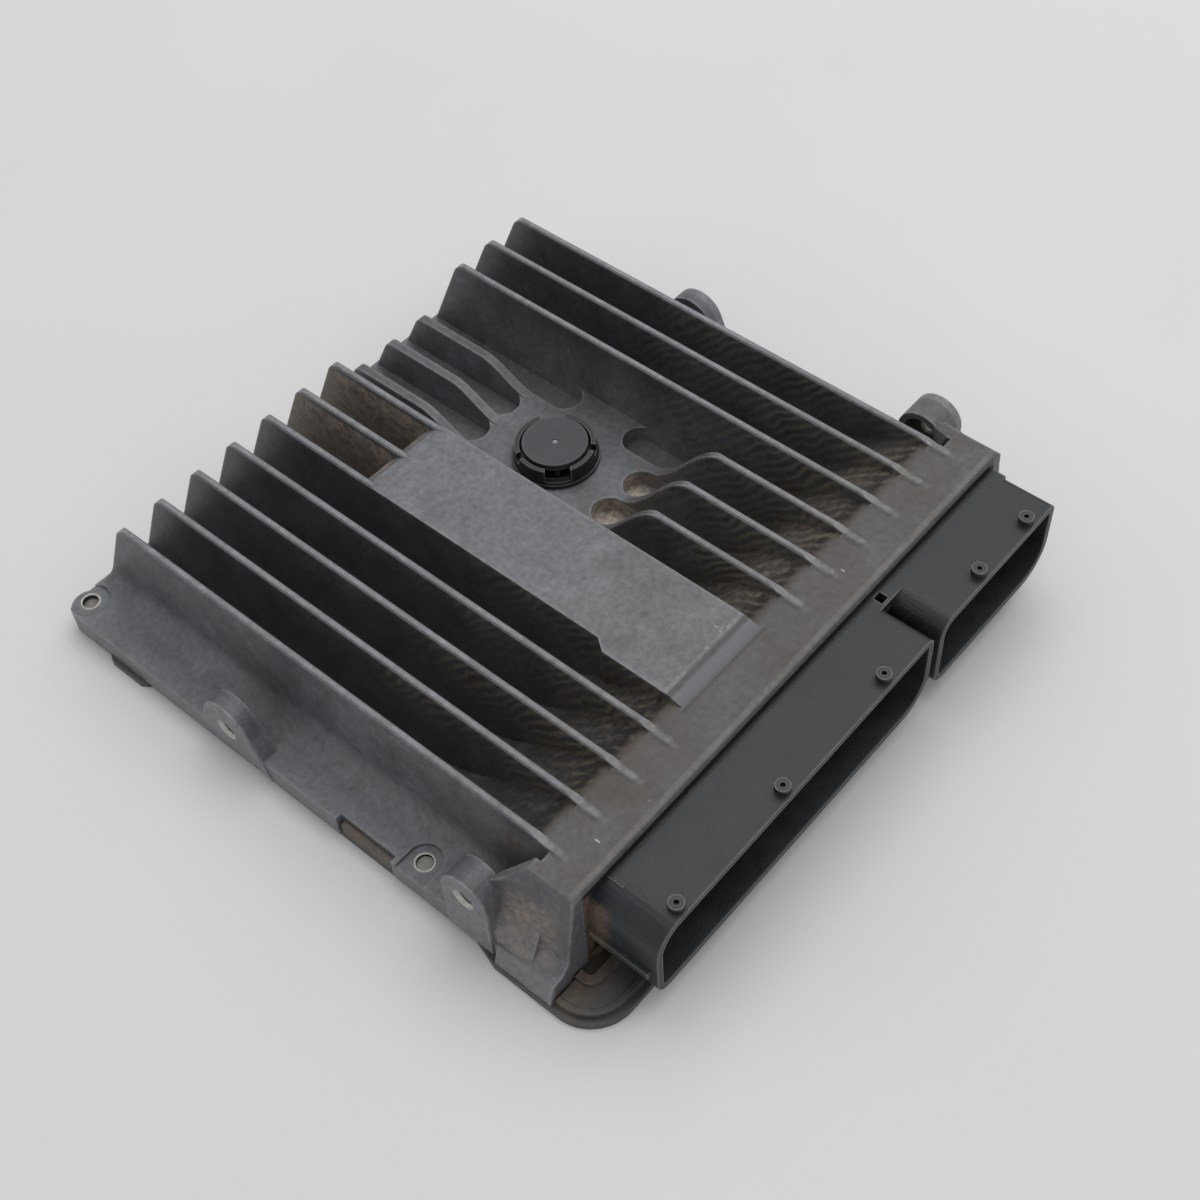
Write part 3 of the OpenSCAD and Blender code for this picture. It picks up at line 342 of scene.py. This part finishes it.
def coated_sheet():
    """Black coated pressed sheet: a smooth dark satin with worn rims, and brown dust that has settled
    in the tray near the header."""
    mat, tree = new_material("black_coated_pressed_sheet")
    place = add(tree, "ShaderNodeTexCoord", out="Object")
    _, y, z = add(tree, "ShaderNodeSeparateXYZ", {"Vector": place}).node.outputs
    cells = add(tree, "ShaderNodeTexNoise", {"Vector": place, "Scale": per_mm(10), "Detail": 4.0})
    fine = add(tree, "ShaderNodeTexNoise", {"Vector": place, "Scale": per_mm(1.4), "Detail": 6.0})
    crumb = add(tree, "ShaderNodeMapRange", {"Value": fine, "From Min": 0.36, "From Max": 0.62,
                                             "To Min": 0.2, "To Max": 0.85})
    thick = add(tree, "ShaderNodeAmbientOcclusion", {"Distance": 0.8 * MM}, **UNDER_SKIN)
    edge = add(tree, "ShaderNodeMapRange", {"Value": thick, "From Min": 0.8, "From Max": 0.4, "To Max": 0.5})
    dust = region(tree, [crumb], [(y, -88, -79), (z, 1.5, 2.5)])
    rim = region(tree, [edge, crumb])
    tone = add(tree, "ShaderNodeValToRGB", {"Fac": cells},
               stops=[(0.34, linear("#3a3b3f")), (0.68, linear("#48494d"))])
    for weight, colour in ((dust, "#67553f"), (rim, "#7d7d7f")):
        tone = add(tree, "ShaderNodeMix", {0: weight, 6: tone, 7: linear(colour)}, **LAID_OVER)
    rough = add(tree, "ShaderNodeMapRange", {"Value": cells, "From Min": 0.3, "From Max": 0.7,
                                             "To Min": 0.4, "To Max": 0.52})
    soft = add(tree, "ShaderNodeBevel", {"Radius": 0.4 * MM}, samples=3)
    relief = add(tree, "ShaderNodeBump", {"Height": fine, "Strength": 0.4, "Distance": 0.04 * MM,
                                          "Normal": soft})
    shader = add(tree, "ShaderNodeBsdfPrincipled", {"Base Color": tone, "Roughness": rough, "Normal": relief})
    add(tree, "ShaderNodeOutputMaterial", {"Surface": shader})
    return mat


def plain_finish(name, dark, light, cell, rough, bump_cell, bump_depth, metallic=0.0, edge=None):
    """A finish with two close tones in soft cells, a fine relief and, where edge is given, a paler
    rubbed tone where the solid is thin under the surface, as along its edges. The cells and the
    relief's depth are in millimetres."""
    mat, tree = new_material(name)
    place = add(tree, "ShaderNodeTexCoord", out="Object")
    cells = add(tree, "ShaderNodeTexNoise", {"Vector": place, "Scale": per_mm(cell), "Detail": 4.0})
    grit = add(tree, "ShaderNodeTexNoise", {"Vector": place, "Scale": per_mm(bump_cell), "Detail": 2.0})
    tone = add(tree, "ShaderNodeValToRGB", {"Fac": cells},
               stops=[(0.36, linear(dark)), (0.66, linear(light))])
    if edge:
        thick = add(tree, "ShaderNodeAmbientOcclusion", {"Distance": 0.7 * MM}, **UNDER_SKIN)
        rub = add(tree, "ShaderNodeMapRange", {"Value": thick, "From Min": 0.85, "From Max": 0.45,
                                               "To Max": 0.6})
        tone = add(tree, "ShaderNodeMix", {0: rub, 6: tone, 7: linear(edge)}, **LAID_OVER)
    gloss = add(tree, "ShaderNodeMapRange", {"Value": cells, "From Min": 0.3, "From Max": 0.7,
                                             "To Min": rough - 0.05, "To Max": rough + 0.06})
    relief = add(tree, "ShaderNodeBump", {"Height": grit, "Strength": 0.6, "Distance": bump_depth * MM})
    shader = add(tree, "ShaderNodeBsdfPrincipled", {"Base Color": tone, "Roughness": gloss, "Normal": relief,
                                                    "Metallic": metallic})
    add(tree, "ShaderNodeOutputMaterial", {"Surface": shader})
    return mat


def dress(material, *names):
    """Gives CAD nodes a material in place of the plain one they came with."""
    for name in names:
        slots = NODES[name].data.materials
        slots.clear()
        slots.append(material)


# Bright cut metal in the ear threads and round the screw ends
BARE = plain_finish("cut_bare_aluminium", "#a5a39d", "#c9c7c0", cell=1.2, rough=0.36, bump_cell=0.5,
                    bump_depth=0.02, metallic=0.35)
dress(coated_casting(), "cover")
dress(coated_sheet(), "base_plate")
dress(grained_moulding(), "connector_header")
# Glossy near-black collar with worn rims, and a greyer matt cap in it
dress(plain_finish("smooth_moulded_polyamide", "#0f1011", "#141517", cell=6, rough=0.34, bump_cell=1.2,
                   bump_depth=0.01, edge="#66686a"), "vent_body")
dress(plain_finish("grained_moulded_polyamide", "#393b3f", "#424448", cell=5, rough=0.5, bump_cell=0.6,
                   bump_depth=0.03, edge="#5c5e61"), "vent_cap")
# Yellowish plated blades, and screws gone dull
dress(plain_finish("tinned_brass_stamping", "#a8925a", "#c2b07a", cell=3, rough=0.35, bump_cell=0.8,
                   bump_depth=0.01, metallic=1.0), "large_port_pins", "small_port_pins")
dress(plain_finish("dull_zinc_steel", "#77746c", "#928f87", cell=2, rough=0.45, bump_cell=0.6,
                   bump_depth=0.02, metallic=0.5), "cover_screws", "board_screws")
# Seals: a dusty brown bead, a black ring and a white breathing sheet
dress(plain_finish("dusty_cured_silicone", "#5a4c3c", "#7a6a56", cell=3, rough=0.8, bump_cell=0.7,
                   bump_depth=0.05), "cover_seal", "header_seal")
dress(plain_finish("moulded_nitrile_rubber", "#161616", "#202020", cell=3, rough=0.65, bump_cell=0.7,
                   bump_depth=0.02), "vent_o_ring")
dress(plain_finish("stretched_ptfe_membrane", "#dcdbd6", "#e8e7e2", cell=2, rough=0.7, bump_cell=0.5,
                   bump_depth=0.01), "vent_membrane")
# The board, satin green, and the black, blue, brown, silver and pale blue parts on it
dress(plain_finish("solder_masked_laminate", "#184230", "#205239", cell=5, rough=0.38, bump_cell=0.7,
                   bump_depth=0.02), "circuit_board")
dress(plain_finish("moulded_epoxy_package", "#1a1a1c", "#232325", cell=2, rough=0.55, bump_cell=0.4,
                   bump_depth=0.01), "microcontroller", "flash_memory", "power_drivers", "injector_mosfets",
      "voltage_regulator", "can_transceivers", "sense_resistors")
dress(plain_finish("shrunk_pvc_sleeve", "#232840", "#2b3050", cell=4, rough=0.3, bump_cell=1.0,
                   bump_depth=0.01), "capacitors")
dress(plain_finish("sintered_ferrite", "#2b2826", "#393532", cell=2, rough=0.6, bump_cell=0.4,
                   bump_depth=0.03), "inductors")
dress(plain_finish("drawn_steel_can", "#b4b6b8", "#c6c8ca", cell=3, rough=0.3, bump_cell=0.6,
                   bump_depth=0.01, metallic=1.0), "crystal", "pressure_sensor")
dress(plain_finish("silicone_gap_pad", "#8fa2b8", "#a4b5c8", cell=2, rough=0.7, bump_cell=0.6,
                   bump_depth=0.02), "thermal_pads")


def round_grid(first, last, rows, cols):
    """Grids of a value that runs from first to last over the rows, and of one turn over the columns."""
    return np.meshgrid(np.linspace(first, last, rows), np.linspace(0, 2 * np.pi, cols, endpoint=False),
                       indexing="ij")


def sheet_piece(name, points, material, capped=False):
    """A piece from a grid of points (rows, columns, 3) that closes along its columns. Where capped
    is true, one face closes its first row."""
    rows, cols = points.shape[:2]
    i, j = np.meshgrid(np.arange(rows - 1), np.arange(cols), indexing="ij")
    k = (j + 1) % cols
    quads = np.stack([i * cols + j, (i + 1) * cols + j, (i + 1) * cols + k, i * cols + k], -1).reshape(-1, 4)
    faces = quads.tolist() + ([list(range(cols))] if capped else [])
    mesh = bpy.data.meshes.new(name)
    mesh.from_pydata(points.reshape(-1, 3).tolist(), [], faces)
    mesh.polygons.foreach_set("use_smooth", np.ones(len(faces), bool))
    mesh.materials.append(material)
    obj = bpy.data.objects.new(name, mesh)
    bpy.context.scene.collection.objects.link(obj)
    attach(obj, "root")
    return obj


def thread_sleeve(mount, pitch, depth, bevel):
    """Cut thread in an ear hole: along the hole the radius swings between wall and crest once per
    pitch, the swing winds right-handed with the angle, and then the bevel widens to the mouth."""
    wall_gap, bevel_gap = 0.02 * MM, 0.03 * MM
    r, length = mount["dims"]["r_mm"] * MM, mount["dims"]["length_mm"] * MM
    centre, axis = np.array(mount["pos_m"]), np.array(mount["axis"], float)
    s, turn = round_grid(0, length + bevel, 90, 48)
    wave = 0.5 + 0.5 * np.cos(2 * np.pi * s / pitch - turn)
    radius = np.where(s > length, r - bevel_gap + (s - length), r - wall_gap - depth * wave)
    across = np.stack([np.zeros_like(turn), np.cos(turn), axis[0] * np.sin(turn)], -1)
    points = centre + axis * (s - length / 2)[..., None] + across * radius[..., None]
    return sheet_piece("thread_" + mount["name"], points, BARE)


def screw_ring(name, centre, mean_r, tube, flatness):
    """Bright ring that the driver left round a screw end: the upper half of a flattened tube section
    carried round a circle."""
    lean, turn = round_grid(np.pi, 0, 9, 48)
    radius = mean_r + tube * np.cos(lean)
    points = np.stack([radius * np.cos(turn), radius * np.sin(turn), flatness * tube * np.sin(lean)], -1)
    return sheet_piece(name, (points + np.array(centre)) * MM, BARE)


def gate_nub(radius, height, sunk):
    """Sheared moulding gate in the middle of the vent cap, its foot sunk in the dimple: a low dome
    whose height falls off with the square of the radius."""
    low, high = (np.array(corner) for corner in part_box("vent_cap"))
    foot = np.array([*((low + high) / 2)[:2], high[2] - sunk])
    out, turn = round_grid(0.1, 1, 8, 24)
    points = np.stack([radius * out * np.cos(turn), radius * out * np.sin(turn), height * (1 - out ** 2)], -1)
    pale = plain_finish("sheared_gate_polyamide", "#84837f", "#a3a29e", cell=0.5, rough=0.6, bump_cell=0.3,
                        bump_depth=0.02)
    return sheet_piece("vent_gate_nub", points + foot, pale, capped=True)


for mount in frame["record"]["mounts"]:
    if mount["kind"] == "threaded_hole":
        thread_sleeve(mount, pitch=1.0 * MM, depth=0.22 * MM, bevel=0.68 * MM)
# Millimetres out to the side, back and up of the screw ends on either hand
SCREW_ENDS = {"side": (86.6, -31.6, 7.1), "lug": (86.0, 91.8, 7.6)}
for where, (out, back, up) in SCREW_ENDS.items():
    for hand, sign in (("left", -1), ("right", 1)):
        screw_ring(f"screw_ring_{where}_{hand}", (sign * out, back, up), mean_r=2.45, tube=0.3, flatness=0.6)
gate_nub(radius=0.85 * MM, height=0.3 * MM, sunk=0.38 * MM)


def lay_floor(half):
    """A flat square of that half side at the height of the table, in matt pale paper that is nearly
    one tone."""
    s, t = np.meshgrid([-half, half], [-half, half], indexing="ij")
    verts = np.stack([s.ravel(), t.ravel(), np.zeros(4)], 1)
    mesh = bpy.data.meshes.new("floor")
    mesh.from_pydata(verts.tolist(), [], [(0, 2, 3, 1)])
    floor = bpy.data.objects.new("floor", mesh)
    bpy.context.scene.collection.objects.link(floor)
    mat, tree = new_material("pale_paper_sweep")
    place = add(tree, "ShaderNodeTexCoord", out="Object")
    cells = add(tree, "ShaderNodeTexNoise", {"Vector": place, "Scale": per_mm(120), "Detail": 3.0})
    tone = add(tree, "ShaderNodeValToRGB", {"Fac": cells},
               stops=[(0.3, linear("#dadada")), (0.7, linear("#dddddd"))])
    shader = add(tree, "ShaderNodeBsdfPrincipled", {"Base Color": tone, "Roughness": 0.9,
                                                    "Specular IOR Level": 0.1})
    add(tree, "ShaderNodeOutputMaterial", {"Surface": shader})
    mesh.materials.append(mat)


def set_up(obj, right, up, back, place):
    """Puts a lamp or camera into the scene at place, with its axes along right, up and back."""
    bpy.context.scene.collection.objects.link(obj)
    m = np.eye(4)
    m[:3] = np.stack([right, up, back, place], 1)
    obj.matrix_world = m.T.tolist()


def soft_lamp(name, place, size, watts):
    """A square soft lamp at place that faces the origin."""
    lamp = bpy.data.lights.new(name, "AREA")
    lamp.shape, lamp.size, lamp.energy = "SQUARE", size, watts
    back = np.array(place) / np.linalg.norm(place)
    side = np.cross([0.0, 1.0, 0.0], back)
    side /= np.linalg.norm(side)
    set_up(bpy.data.objects.new(name, lamp), side, np.cross(back, side), back, place)


def photo_camera(azimuth, elevation, roll, focal_px, centre_px, place):
    """A camera with the photo's turn, roll and lens. The lens axis meets the picture at centre_px."""
    a, e, r = math.radians(azimuth), math.radians(elevation), math.radians(roll)
    back = np.array([math.sin(a) * math.cos(e), -math.cos(a) * math.cos(e), math.sin(e)])
    right = np.cross(-back, [0.0, 0.0, 1.0])
    right /= np.linalg.norm(right)
    down = np.cross(-back, right)
    turned_right = math.cos(r) * right - math.sin(r) * down
    turned_down = math.sin(r) * right + math.cos(r) * down
    data = bpy.data.cameras.new("photo_camera")
    data.sensor_width, data.sensor_fit = SENSOR_MM, "HORIZONTAL"
    data.lens = focal_px * SENSOR_MM / PHOTO_PX
    data.shift_x = (PHOTO_PX / 2 - centre_px[0]) / PHOTO_PX
    data.shift_y = (centre_px[1] - PHOTO_PX / 2) / PHOTO_PX
    data.clip_start, data.clip_end = 0.01, 20.0
    camera = bpy.data.objects.new("photo_camera", data)
    set_up(camera, turned_right, -turned_down, back, place)
    bpy.context.scene.camera = camera


lay_floor(half=3.0)
photo_camera(azimuth=-46.83, elevation=51.84, roll=-3.69, focal_px=1798.5, centre_px=(611.74, 593.03),
             place=(-0.2099, -0.2130, 0.3773))
soft_lamp("top_softbox", place=(0.6, 0.1, 1.6), size=1.6, watts=13.5)
soft_lamp("right_softbox", place=(0.9, -0.9, 1.0), size=1.0, watts=1.5)

world = bpy.data.worlds.new("studio_room")
world.use_nodes = True
bpy.context.scene.world = world
world.node_tree.nodes["Background"].inputs["Color"].default_value = linear("#f6f6f6")
world.node_tree.nodes["Background"].inputs["Strength"].default_value = 0.64
bpy.context.scene.view_settings.view_transform = "Standard"
